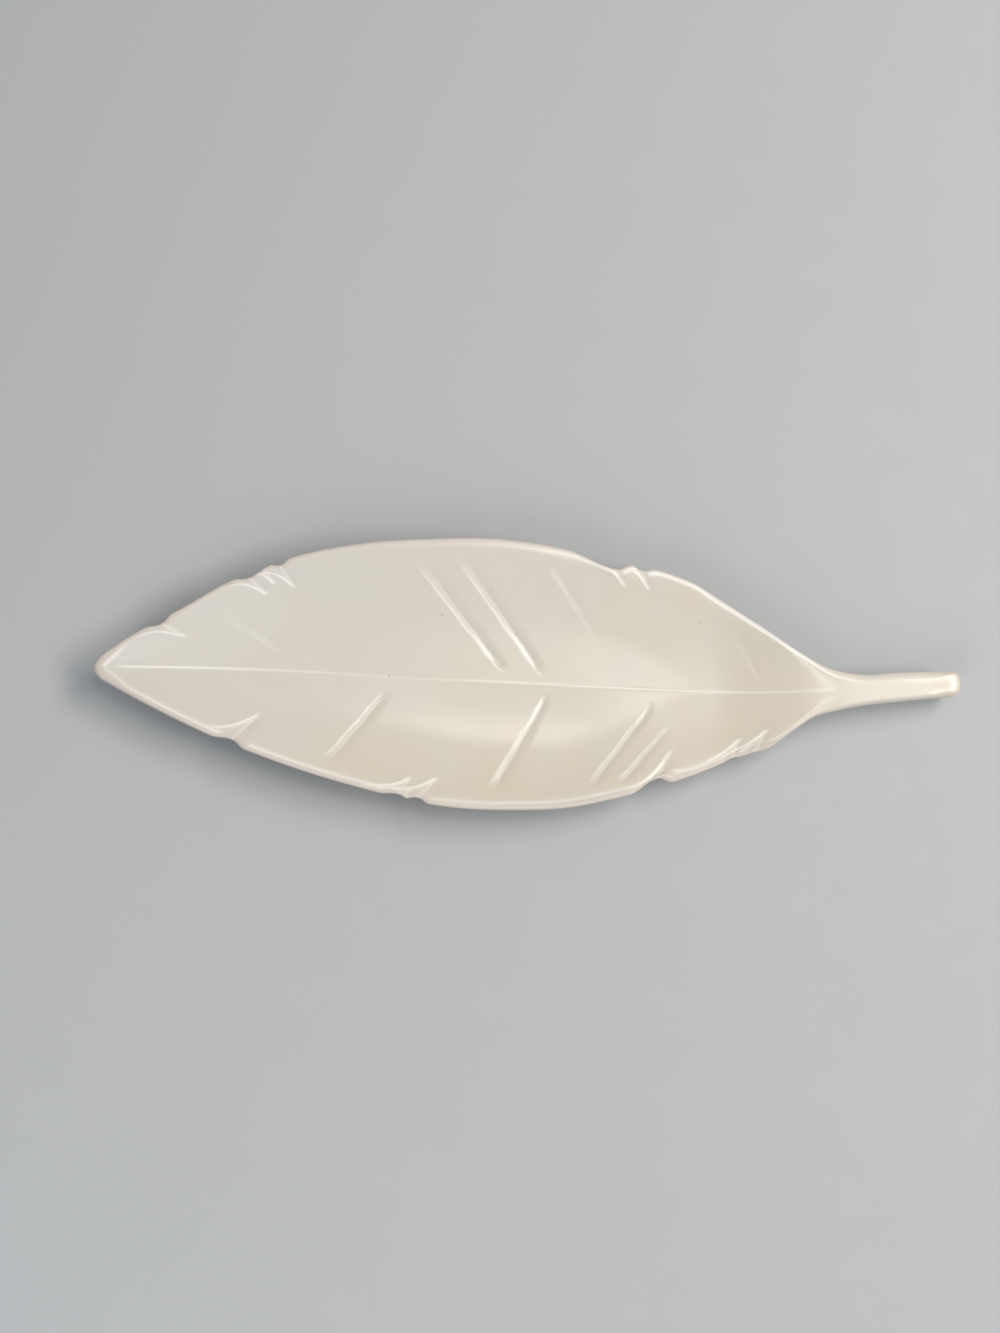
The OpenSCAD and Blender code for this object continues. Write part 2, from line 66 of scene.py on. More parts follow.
# Sizes in millimetres, with places measured from the leaf's tip, and the shares and powers that shape them
PLATE_L = (cad_high.x - cad_low.x) / MM
PAD_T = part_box("pad_tip_far")[1].z / MM
BLADE_L = 290
HALF_W = {FAR: 54.2, NEAR: 53.2}
WALL = 5
RIM_RISE = 7.5
ROLL_W = 7
ROLL_SHARE = 0.6
ROLL_MOST = 0.5
ROLL_POWER = 3
TIP_ROUND = 2
TIP_ROUND_L = 14
TIP_NOSE = 3.5
TIP_LIFT = 9
RIB_SWING = 5
STEM_FLARE = 10
STEM_ROOT_W = 12.5
STEM_END_W = 10
STEM_T = 8
STEM_CROWN = {FAR: 1.6, NEAR: 0.2, END: 0.9}
STEM_NOSE = 5
STEM_END_BAND = (4, 14)
STEM_LIFT = 7
STEM_DROOP = 4
STEM_CREST = 4
DROOP_POWER = 1.2
FOOT_X = 158
FOOT_L = 150
FOOT_W = 44
FOOT_H = 2.5
FOOT_SLOPE = 2.5

# Shape of the blade: places along it and reaches across it, in percent
SHAPES = {
    FAR: [
        (0, 5), (5, 24), (12, 45.5), (17, 62), (26, 82.5), (36, 94.5), (45, 98.8), (53, 100), (60, 96.5),
        (69, 86.5), (78, 76), (81.5, 68.5), (84, 60), (89, 42.5), (95, 20.5), (98.5, 10),
    ],
    NEAR: [
        (0, 6), (6, 23.5), (12, 39.5), (17, 51.5), (22, 62), (30, 76.5), (38, 88), (47, 98), (57, 100),
        (64, 97.5), (70, 90.5), (80, 73.5), (87, 58), (91, 51), (94, 39), (97, 28), (100, 23),
    ],
}

# The midrib's way along the blade and the stem: places in percent, and shares of its swing
RIB_SHAPE = [(0, 0), (17, 0.1), (31, -0.05), (42, -0.32), (60, -0.6), (80, -0.92), (95, -1)]
STEM_SHAPE = [(0, -0.74), (50, -0.3), (100, 0)]

# Places along the stem, in percent, that its edge runs through
STEM_POINTS = [0, 33, 67, 100]

# Barbs, the slanting lines from the midrib to the edge: root and end in percent of the blade
BARBS = {
    FAR: [(15, 7.5), (29.5, 14.5), (56.5, 41.5), (61.5, 47.5), (72.2, 59.8), (91, 84)],
    NEAR: [(17, 9), (29, 18.5), (41, 30.5), (62, 52.5), (77, 65), (82, 69), (95, 86)],
}

# Width of the rim's rounded band in millimetres, with the place along the blade in percent
RIM_ROUNDS = {
    FAR: [(0, 2.2), (30, 2.1), (50, 2.1), (62, 2.1), (75, 1.7), (90, 1.5), (120, 1.5)],
    NEAR: [(0, 2.4), (40, 2.4), (70, 2.8), (90, 2.8), (120, 2.8)],
}

# Veins: root in percent of the blade, start and end as shares of the barb, strength at both ends and width
VEINS = {
    FAR: [
        (29.5, 0.34, 0.84, 0.25, 0.15, 1.2), (56.5, 0.115, 0.87, 1, 0.6, 1), (61.5, 0.105, 0.9, 1, 0.6, 1),
        (72.2, 0.36, 0.87, 0.15, 0.5, 0.8), (91, 0.14, 0.72, 0.15, 0.1, 0.8),
    ],
    NEAR: [
        (41, 0.19, 0.9, 1, 0.6, 1), (62, 0.1, 0.88, 1, 0.8, 0.95), (77, 0.14, 0.86, 0.75, 0.6, 0.75),
        (82, 0.37, 0.86, 0.4, 0.8, 0.7),
    ],
}
VEIN_D = 0.6
VEIN_WALL_W = 1.6
VEIN_RAMP_W = 4.2
VEIN_CREST_ROUND = 0.05
VEIN_BOTTOM_ROUND = 0.15
VEIN_START_WIDTH = 0.8
VEIN_END_WIDTH = 1.4
VEIN_IN_SHARE = 0.03
VEIN_OUT_SHARE = 0.2
VEIN_WAVE = 0.15
VEIN_WAVE_L = 2.2
VEIN_RIPPLE = 0.07
VEIN_RIPPLE_L = 0.8
VEIN_UNEVEN = 0.35

# Nicks in the rim, all in percent: the mouth's place along the blade, then shares of the nicks' sizes:
# reach along and into the blade, flare of the crest, length of the dip before and after the mouth, and
# depth of the dip
NICKS = {
    FAR: [
        (8.8, 105, 50, 62, 75, 40, 95), (20.4, 80, 70, 50, 70, 90, 105), (22.5, 45, 70, 30, 30, 30, 0),
        (24.5, 65, 90, 60, 45, 40, 80), (70, 50, 75, 45, 200, 80, 160), (73.7, 35, 85, 40, 40, 60, 80),
    ],
    NEAR: [
        (19, 105, 105, 92, 90, 50, 95), (41.4, 50, 70, 78, 80, 45, 65), (44, 80, 85, 95, 65, 45, 85),
        (75.9, 60, 120, 60, 110, 65, 170), (86.1, 30, 80, 95, 50, 35, 35), (89.1, 45, 90, 95, 50, 35, 25),
    ],
}
NICK_L = 10
NICK_FLARE_W = 4
NICK_DIP_D = 2
NICK_STEP_H = 0.45
NICK_STEP_W = 1.1
NICK_STEP_IN = 0.3
NICK_FLOOR_SLOPE = 0.1
NICK_FADE = (2, 5)
NICK_RAMP_W = 8
NICK_RAMP_START = 0.35
NICK_BOTTOM_ROUND = 0.4

# Pale lines painted into the glaze: on raised crests partly thinner glaze and partly a painted highlight,
# on groove bottoms, the rim and the stem a painted highlight; half widths of the lines in millimetres, and
# how strong they are
CREST_MARK_W = 0.42
CREST_PALE_AND_HIGHLIGHT = 0.8
BOTTOM_PAINTED_HIGHLIGHT = 0.3
NICK_PALE_AND_HIGHLIGHT = 0.8
NICK_MARK_IN = 0.12
RIB_MARK_W = 0.48
RIB_MARK_LEAST = 0.22
STEM_PAINTED_HIGHLIGHT = 0.3
STEM_PAINTED_HIGHLIGHT_END = (2, 16)
RIM_MARK_W = 0.7
RIM_HIGHLIGHT_STRENGTHS = {
    FAR: [
        (0, 0.9), (2.5, 0.7), (4.5, 0.1), (8, 0.1), (40, 0.1), (52, 0.1), (58, 0.35), (64, 0.65),
        (75, 0.95), (97, 1), (104, 0.45), (110, 0.35), (115, 0.1), (120, 0),
    ],
    NEAR: [
        (0, 0.3), (8, 0.6), (20, 0.65), (40, 0.5), (65, 0.5), (80, 0.45), (94, 0.5), (100, 0.15),
        (104, 0), (120, 0),
    ],
}

# How a nick breaks the rim's painted highlight line: the share that it takes, its reach before the mouth in
# flares of the nick and after it in lengths of the nick, and the softness of the ends in millimetres
RIM_BREAK = 0.9
RIM_BREAK_BEFORE = 1.6
RIM_BREAK_AFTER = 0.5
RIM_BREAK_SOFT = 1.5

# The raised line on the midrib: half width, and height along the blade with the place in percent
RIB_SIGMA = 0.5
RIB_HEIGHTS = [
    (0, 0.2), (14, 0.25), (24, 0.08), (55, 0.045), (72, 0.16), (83, 0.1), (90, 0.05), (100, 0.04),
]
RIB_MOST_H = 0.25
RIB_START = (5, 13)

# The slight twist of the dish: slope across it, with the place along the blade in percent
TWISTS = [
    (0, -0.05), (10, -0.04), (22, 0), (42, 0.04), (56, 0.05), (64, 0.06), (70, 0.04), (76, 0.01), (82, 0),
    (120, 0),
]

# How the hollow, the rim and the ends are formed
CREASES = {
    FAR: [(0, 0.12), (40, 0.06), (56, -0.06), (70, -0.1), (80, -0.04), (90, 0.08), (120, 0.08)],
    NEAR: [(0, 0.12), (40, 0.06), (56, -0.06), (66, -0.06), (72, 0.04), (78, 0.1), (90, 0.1), (120, 0.1)],
}
DISH_POWER = {FAR: 2.7, NEAR: 3.3}
ELBOWS = {
    FAR: [(0, 0.4), (50, 0.48), (65, 0.47), (71, 0.37), (76, 0.2), (79, 0.09), (82, 0), (88, 0), (120, 0)],
    NEAR: [
        (0, 0.4), (40, 0.44), (60, 0.46), (67, 0.36), (74, 0.17), (78, 0.07), (82, 0.01), (88, 0), (120, 0),
    ],
}
ELBOW_ROUNDS = {
    FAR: [(0, 0.1), (120, 0.1)],
    NEAR: [(0, 0.1), (50, 0.12), (62, 0.2), (70, 0.12), (76, 0.06), (120, 0.06)],
}
ELBOW_SHARE = 0.4
RISE_POWER = 0.95
LOWEST_SHARE = 0.82
FADE_SHARE = 0.92
STEM_ROUND_SHARE = {FAR: 0.5, NEAR: 0.3, END: 0.42}
MOST_ROUND_SHARE = 0.9
RIM_FULLNESS = 2.2
LEAST_SINE = 0.5
TIP_INSET = 5
STEM_INSET = STEM_END_W / 2

# Fineness of the surface: steps and bands in millimetres, the most that a band takes as a share, and counts
ROOT_SAMPLES = 20001
PLAIN_STEP = 0.66
MARK_STEP = 0.38
MARK_BAND = 2.5
STEP_GROWTH = 0.1
TIP_STEP = 0.02
STEM_STEP = 0.003
RIM_LEVELS = 12
NICK_LEVELS = 22
NICK_BAND = 13
NICK_BAND_MOST = 0.5
MIDDLE_LEVELS = 15
MIDDLE_POWER = 1.4
RIDGE_LEVELS = 8
RIDGE_BAND = 2.5
RIDGE_BAND_MOST = 0.25
UNDER_RIM_LEVELS = 6
HULL_LEVELS = 5
SKIRT_LEVELS = 7
SKIRT_SLOPES = 2
SKIRT_MOST = 0.6
FOOT_LEVELS = 3
FOOT_LEAST = 0.3
FOOT_MOST = 0.8
EVEN = 1
TINY = 1e-9

STEM_START = BLADE_L + STEM_FLARE


# Curves and the leaf's outline

def ease(low, high, x):
    u = np.clip((x - low) / (high - low), 0, 1)
    return u * u * (3 - 2 * u)


def curve(points, x):
    """A smooth curve through points with rising x."""
    px, py = np.array(points, float).T
    run = np.diff(px)
    chord = np.diff(py) / run
    slope = np.empty(len(px))
    slope[0] = chord[0]
    slope[-1] = chord[-1]
    slope[1:-1] = (chord[:-1] * run[1:] + chord[1:] * run[:-1]) / (run[1:] + run[:-1])
    i = np.clip(np.searchsorted(px, x, side="right") - 1, 0, len(px) - 2)
    u = (x - px[i]) / run[i]
    ends = py[i] * (1 + 2 * u) * (1 - u) ** 2 + py[i + 1] * u ** 2 * (3 - 2 * u)
    return ends + run[i] * u * (1 - u) * (slope[i] * (1 - u) - slope[i + 1] * u)


def along(percent):
    return BLADE_L * percent / 100


def stem_place(percent):
    return STEM_START + (PLATE_L - STEM_START) * percent / 100


def rib_y(x):
    blade = [(along(place), RIB_SWING * share) for place, share in RIB_SHAPE]
    stem = [(stem_place(place), RIB_SWING * share) for place, share in STEM_SHAPE]
    return curve(blade + stem, x)


def stem_half(x):
    u = np.maximum(0, (x - STEM_START) / (PLATE_L - STEM_START))
    return (STEM_ROOT_W + (STEM_END_W - STEM_ROOT_W) * u) / 2


def edge_line(side):
    blade = [(along(place), HALF_W[side] * percent / 100) for place, percent in SHAPES[side]]
    places = [stem_place(percent) for percent in STEM_POINTS]
    return blade + [(x, stem_half(x) + side * rib_y(x)) for x in places]


def barb_line(side):
    barbs = [(along(root), along(end)) for root, end in BARBS[side]]
    stem_root = (STEM_START, STEM_START - STEM_FLARE / 2)
    stem_end = (PLATE_L - STEM_INSET, PLATE_L)
    return [(TIP_INSET, 0)] + barbs + [stem_root, stem_end]


def by_side(side, value):
    """A value that depends on the side, for arrays of sides."""
    return np.where(side == FAR, value(FAR), value(NEAR))


def barb_end(side, root):
    """Place along the plate where the barb from a root meets the edge."""
    return by_side(side, lambda s: curve(barb_line(s), root))


def reach(side, x):
    """Distance from the midrib to the edge without its nicks."""
    nose = np.sqrt(1 - np.maximum(0, 1 - x / TIP_NOSE) ** 2)
    tail = np.cbrt(1 - np.maximum(0, 1 - (PLATE_L - x) / STEM_NOSE) ** 3)
    return (by_side(side, lambda s: curve(edge_line(s), x)) - side * rib_y(x)) * nose * tail


def dips(side, x):
    """How far the nicks take the edge in."""
    def deepest(s):
        depth = np.zeros(np.shape(x))
        for mouth, _, _, _, before, after, dip in NICKS[s]:
            past = x - along(mouth)
            u = np.clip(past / (NICK_L * np.where(past < 0, before, after) / 100), -1, 1)
            depth = np.maximum(depth, NICK_DIP_D * dip / 100 * (1 + np.cos(np.pi * u)) / 2)
        return depth
    return by_side(side, deepest)


def whole_edge(side, x):
    """Points of the edge without its nicks."""
    return np.stack([x, rib_y(x) + side * reach(side, x)], -1)


def edge(side, x):
    """Points of the edge with its nicks."""
    y = rib_y(x) + side * (reach(side, x) - dips(side, x))
    return np.stack([x, y], -1)


# Heights along and across the plate

def blade_part(x):
    """From 1 on the blade to 0 on the stem."""
    return 1 - ease(BLADE_L * FADE_SHARE, STEM_START, x)


def lift(x):
    """Height of the midrib over its lowest place: the tip is lifted, and the stem rises and droops."""
    low = BLADE_L * LOWEST_SHARE
    crest = BLADE_L + STEM_CREST
    droop = STEM_DROOP * np.maximum(0, (x - crest) / (PLATE_L - crest)) ** DROOP_POWER
    return TIP_LIFT * np.maximum(0, (low - x) / low) ** 2 + STEM_LIFT * ease(low, crest, x) - droop


def rib_z(x):
    return PAD_T + FOOT_H + WALL + lift(x)


def thickness(x):
    return STEM_T + (WALL - STEM_T) * blade_part(x)


def stem_value(values, side, x):
    """A value that differs on the stem's two sides and has one value round its end."""
    sides = by_side(side, lambda s: values[s])
    return values[END] + (sides - values[END]) * ease(*STEM_END_BAND, PLATE_L - x)


def crown(side, x):
    return stem_value(STEM_CROWN, side, x) * (1 - blade_part(x))


def by_place(curves, side, x):
    """A value that changes along each side of the blade."""
    return by_side(side, lambda s: curve([(along(place), value) for place, value in curves[s]], x))


def round_w(side, x):
    """Width of the rounding of the rim, and of the stem."""
    rim = by_place(RIM_ROUNDS, side, x) + TIP_ROUND * (1 - ease(0, TIP_ROUND_L, x))
    stem = stem_half(x) * stem_value(STEM_ROUND_SHARE, side, x)
    return stem * (1 - blade_part(x)) + rim * blade_part(x)


def rim_height(side, x):
    """Height of the rim over the midrib."""
    half_w = by_side(side, lambda s: HALF_W[s])
    return RIM_RISE * np.maximum(0, reach(side, x) / half_w) ** RISE_POWER * blade_part(x)


def dish_power(side):
    return by_side(side, lambda s: DISH_POWER[s])


def bend(t, elbow, rounding):
    """A line that is flat before an elbow and rises after it, with a rounded turn."""
    return np.hypot(t - elbow, rounding) + t - elbow


def dish(t, x, side):
    """Height over the midrib as a share of the rim's: a crease, a hollow and an elbow round the floor."""
    crease = by_place(CREASES, side, x)
    elbow = by_place(ELBOWS, side, x)
    rounding = by_place(ELBOW_ROUNDS, side, x)
    first = bend(0, elbow, rounding)
    flank = (bend(t, elbow, rounding) - first) / (bend(1, elbow, rounding) - first)
    return crease * t + (1 - crease - ELBOW_SHARE) * t ** dish_power(side) + ELBOW_SHARE * flank


def flank_slope(side, x):
    """Slope of the dish at its edge, for a rise and a reach of one."""
    elbow = by_place(ELBOWS, side, x)
    rounding = by_place(ELBOW_ROUNDS, side, x)
    rise = bend(1, elbow, rounding) - bend(0, elbow, rounding)
    return (1 - ELBOW_SHARE) * dish_power(side) + 2 * ELBOW_SHARE / rise


# Veins and nicks

def plan_path(start, end):
    """Start, direction and length of a straight way in plan."""
    way = end - start
    length = np.hypot(*way)
    return start, way / length, length


def vein_paths():
    for side, veins in VEINS.items():
        for root, first, last, start, end, width in veins:
            a = np.array([along(root), rib_y(along(root))])
            b = whole_edge(side, barb_end(side, along(root)))
            yield plan_path(a + (b - a) * first, a + (b - a) * last), start, end, width, side


def gap_to_edge(side, p):
    """Distance across the plate from points to the edge without its nicks."""
    return side * (whole_edge(side, p[..., 0])[..., 1] - p[..., 1])


def nick_lines():
    """Side of each nick, ends of its bottom line, slope of the edge there and flare of its crest."""
    for side, nicks in NICKS.items():
        for mouth, run, inward, flare, _, _, _ in nicks:
            outer = edge(side, np.array(along(mouth), float))
            inner = outer + np.array([run, -side * inward]) * NICK_L / 100
            slope = (reach(side, inner[0]) - reach(side, outer[0])) / (inner[0] - outer[0])
            yield side, outer, inner, slope, NICK_FLARE_W * flare / 100


def path_place(path, p):
    """How far along a path a point lies, as a share of it, and how far to its left."""
    start, way, length = path
    off = p - start
    return off @ way / length, way[0] * off[..., 1] - way[1] * off[..., 0]


def line_mark(distance, width):
    """Strength of a soft line at a distance from its middle."""
    return np.exp(-(distance / width) ** 2)


def vein_cut(p, number, path, start, end, width, side):
    """Depth of a vein at points in plan, and the pale lines painted on it: thin glaze with a painted
    highlight on its crest, a painted highlight on its bottom.
    """
    s, left = path_place(path, p)
    wave = np.sin(s * path[2] / VEIN_WAVE_L + number)
    ripple = np.sin(s * path[2] / VEIN_RIPPLE_L + number)
    left = left + VEIN_WAVE * wave + VEIN_RIPPLE * ripple
    part = np.clip(s, 0, 1)
    wide = width * (VEIN_START_WIDTH + (VEIN_END_WIDTH - VEIN_START_WIDTH) * part)
    away = (np.hypot(left, VEIN_BOTTOM_ROUND) - VEIN_BOTTOM_ROUND) / wide
    wall = VEIN_D * (1 - away / VEIN_WALL_W)
    wall = (wall + np.hypot(wall, VEIN_CREST_ROUND)) / 2
    full = (1 + math.hypot(1, VEIN_CREST_ROUND / VEIN_D)) / 2
    ramp = VEIN_D * np.maximum(0, 1 - away / VEIN_RAMP_W) ** 2
    on_wall = side * left > 0
    groove = np.where(on_wall, wall / full, ramp)
    ends = ease(0, VEIN_IN_SHARE, s) * (1 - ease(1 - VEIN_OUT_SHARE, 1, s))
    strength = (start + (end - start) * part) * ends
    # Pale crest line: thin glaze with a painted highlight; the bottom line is a painted highlight
    crest = np.where(on_wall, CREST_PALE_AND_HIGHLIGHT * line_mark(away - VEIN_WALL_W, CREST_MARK_W), 0)
    line = np.maximum(crest, BOTTOM_PAINTED_HIGHLIGHT * line_mark(left, CREST_MARK_W))
    return strength * groove, strength * line * (1 + VEIN_UNEVEN * wave * ripple)


def nick_cut(p, gap, side, outer, inner, slope, flare):
    """Depth of a nick at points in plan, a gap away from the edge, and the pale lines painted there: thin
    glaze with a painted highlight on the crest, a painted highlight on the bottom.
    """
    shallow = gap_to_edge(side, outer)
    deep = gap_to_edge(side, inner)
    lean = (inner[0] - outer[0]) / (deep - shallow)
    part = np.clip((deep - gap) / (deep - shallow), 0, 1)
    left = inner[0] - lean * (deep - gap) - p[..., 0]
    out = np.hypot(left, NICK_BOTTOM_ROUND) - NICK_BOTTOM_ROUND
    away = out / math.hypot(lean, 1 - lean * slope)
    rim = float(round_w(side, outer[0]))
    steep = (deep - rim) / flare
    fall = steep * np.exp(-out / flare)
    inside = (rim + fall * flare - gap) / np.hypot(fall * (1 - lean * slope) - slope, fall * lean + 1)
    middle = (deep - gap) / np.hypot(steep * (1 - lean * slope) - slope, steep * lean + 1)
    step = NICK_STEP_H * ease(0, NICK_STEP_IN, part)
    wall = step * ease(0, NICK_STEP_W, inside) + NICK_FLOOR_SLOPE * np.maximum(0, inside)
    full = step * ease(0, NICK_STEP_W, middle) + NICK_FLOOR_SLOPE * np.maximum(0, middle)
    near_nick = 1 - ease(NICK_FADE[0] * flare, NICK_FADE[1] * flare, left)
    ramp_w = NICK_RAMP_W * (NICK_RAMP_START + (1 - NICK_RAMP_START) * part)
    ramp = full * np.maximum(0, 1 - away / ramp_w) ** 2
    on_wall = left > 0
    depth = np.where(on_wall, wall * near_nick, ramp)
    # Pale crest line: thin glaze with a painted highlight; the bottom line is a painted highlight
    crest = np.where(on_wall, NICK_PALE_AND_HIGHLIGHT * near_nick * line_mark(inside, CREST_MARK_W), 0)
    line = np.maximum(crest, BOTTOM_PAINTED_HIGHLIGHT * line_mark(away, CREST_MARK_W))
    return depth, ease(0, NICK_MARK_IN, part) * line


def cuts(p):
    """Depth of the veins and nicks at points in plan, and the pale lines of thin glaze and painted
    highlight on them.
    """
    gaps = {side: gap_to_edge(side, p) for side in (FAR, NEAR)}
    found = [vein_cut(p, number, *vein) for number, vein in enumerate(vein_paths())]
    found += [nick_cut(p, gaps[nick[0]], *nick) for nick in nick_lines()]
    depth = np.zeros(p.shape[:-1])
    pale_and_highlight = np.zeros(p.shape[:-1])
    for cut_depth, cut_pale_and_highlight in found:
        depth = np.maximum(depth, cut_depth)
        pale_and_highlight = np.maximum(pale_and_highlight, cut_pale_and_highlight)
    return depth, pale_and_highlight


def rim_left(side, x):
    """Share of the rim's painted highlight line that is left where the nicks break it."""
    def unbroken(s):
        share = np.ones(np.shape(x))
        for mouth, run, _, flare, _, _, _ in NICKS[s]:
            past = x - along(mouth)
            start = -RIM_BREAK_BEFORE * NICK_FLARE_W * flare / 100
            end = RIM_BREAK_AFTER * NICK_L * run / 100
            rising = ease(start - RIM_BREAK_SOFT, start + RIM_BREAK_SOFT, past)
            falling = 1 - ease(end - RIM_BREAK_SOFT, end + RIM_BREAK_SOFT, past)
            share = share * (1 - RIM_BREAK * rising * falling)
        return share
    return by_side(side, unbroken)


def rib_h(x):
    height = curve([(along(place), height) for place, height in RIB_HEIGHTS], x)
    return height * blade_part(x) * ease(*RIB_START, x)


def ridge(p):
    """Height of the raised line on the midrib."""
    return rib_h(p[..., 0]) * line_mark(p[..., 1] - rib_y(p[..., 0]), RIB_SIGMA)


def rib_pale_and_highlight(x):
    """How pale the midrib's line is painted: partly thinner glaze on the raised line, partly a painted
    highlight.
    """
    return (RIB_MARK_LEAST + (1 - RIB_MARK_LEAST) * rib_h(x) / RIB_MOST_H) * ease(*RIB_START, x)


def twist(p, t):
    """Height that the slight twist of the dish adds."""
    x = p[..., 0]
    slope = curve([(along(place), value) for place, value in TWISTS], x)
    return slope * (p[..., 1] - rib_y(x)) * (1 - t * t) * blade_part(x)


def top_z(p, t, side, rise):
    x = p[..., 0]
    hollow = rise * dish(t, x, side) - crown(side, x) * t ** 2
    return rib_z(x) + hollow + twist(p, t) - cuts(p)[0] + ridge(p)


def hull_z(p, t, side, rise):
    x = p[..., 0]
    hollow = rise * dish(t, x, side) + crown(side, x) * t ** 2
    return rib_z(x) + hollow + twist(p, t) - thickness(x)


# The plate's mesh: rings from the edge to a middle line, on the top and on the underside

def station_roots():
    """Roots of the barbs that the surface is drawn along, closer together where there is more to show."""
    x = np.linspace(TIP_INSET, PLATE_L - STEM_INSET, ROOT_SAMPLES)
    marks = [along(vein[0]) for veins in VEINS.values() for vein in veins]
    for side, nicks in NICKS.items():
        middles = [along(nick[0]) + NICK_L * nick[1] / 100 / 2 for nick in nicks]
        marks += np.interp(middles, barb_end(side, x), x).tolist()
    step = np.full(x.shape, PLAIN_STEP)
    for mark in marks:
        step = np.minimum(step, MARK_STEP + STEP_GROWTH * np.maximum(0, np.abs(x - mark) - MARK_BAND))
    step = np.minimum(step, TIP_STEP + STEP_GROWTH * (x - x[0]))
    step = np.minimum(step, STEM_STEP + STEP_GROWTH * (x[-1] - x))
    passed = np.concatenate([[0], np.cumsum(np.diff(x) / ((step[1:] + step[:-1]) / 2))])
    count = 2 * int(passed[-1] / 2) + 1
    return np.interp(np.linspace(0, passed[-1], count), passed, x)


def ring_of(roots):
    """Station and side of each place on a ring: along the far edge to the stem, and back along the near."""
    count = len(roots)
    station = np.concatenate([np.arange(count), np.arange(count - 2, 0, -1)])
    side = np.concatenate([np.full(count, FAR), np.full(count - 2, NEAR)])
    return station, side


def round_shares(edges, ways, side, ends):
    """Share of each way that the rounded edge takes, measured square to the edge."""
    run = np.roll(edges, -1, 0) - np.roll(edges, 1, 0)
    lengths = np.linalg.norm(ways, axis=1)
    sine = np.abs(run[:, 0] * ways[:, 1] - run[:, 1] * ways[:, 0]) / np.linalg.norm(run, axis=1) / lengths
    return np.minimum(MOST_ROUND_SHARE, round_w(side, ends) / np.maximum(LEAST_SINE, sine) / lengths)


def pulled_in(p, shift, away):
    """Points moved with the edge where a nick takes it in, less and less away from it."""
    return p + shift * (1 - ease(0, NICK_BAND, away))[..., None]


def rim_profile(u):
    """Share of the height between the edge and the surface, at a share of the rounding's width."""
    return (1 - (1 - u) ** RIM_FULLNESS) ** (1 / RIM_FULLNESS)


def rim_steps(count):
    """Shares of the rim's rounding, closer together at the edge."""
    return 1 - np.cos(np.linspace(0, math.pi / 2, count + 1))


def ring_shares(rim_u, stops, bands):
    """Shares of the ways at each ring, from the edge inwards, and the share of the rim's height there."""
    shares = [stops[0] * u for u in rim_u]
    heights = [rim_profile(u) for u in rim_u]
    for low, high, (count, power) in zip(stops[:-1], stops[1:], bands):
        shares += [high - (high - low) * (1 - (k + 1) / count) ** power for k in range(count)]
    shares = np.array(shares[:-1])
    heights = np.array(heights + [1] * (len(shares) - len(heights)))
    return shares, heights[:, None]


def with_height(p, z):
    return np.concatenate([p, z[..., None]], -1)


def pale_and_highlight_lines(p, side, ends, past_rim):
    """Pale lines painted on the veins, the nicks, the rim, the midrib and the stem: thin glaze with a
    painted highlight on the crests, and painted highlights on the rim and the stem.
    """
    x = p[..., 0]
    # Painted highlight along the rim's crest, stronger where the light catches it
    rim_painted_highlight = by_place(RIM_HIGHLIGHT_STRENGTHS, side, ends) * rim_left(side, ends) * line_mark(past_rim, RIM_MARK_W)
    # Midrib line: thin glaze with a painted highlight
    rib_pale_and_highlight_line = rib_pale_and_highlight(x) * line_mark(p[..., 1] - rib_y(x), RIB_MARK_W)
    # Painted highlight over the stem, fading before its end
    stem_painted_highlight = STEM_PAINTED_HIGHLIGHT * (1 - blade_part(x)) * ease(*STEM_PAINTED_HIGHLIGHT_END, PLATE_L - x)
    return np.maximum.reduce([cuts(p)[1], rim_painted_highlight, rib_pale_and_highlight_line, stem_painted_highlight])


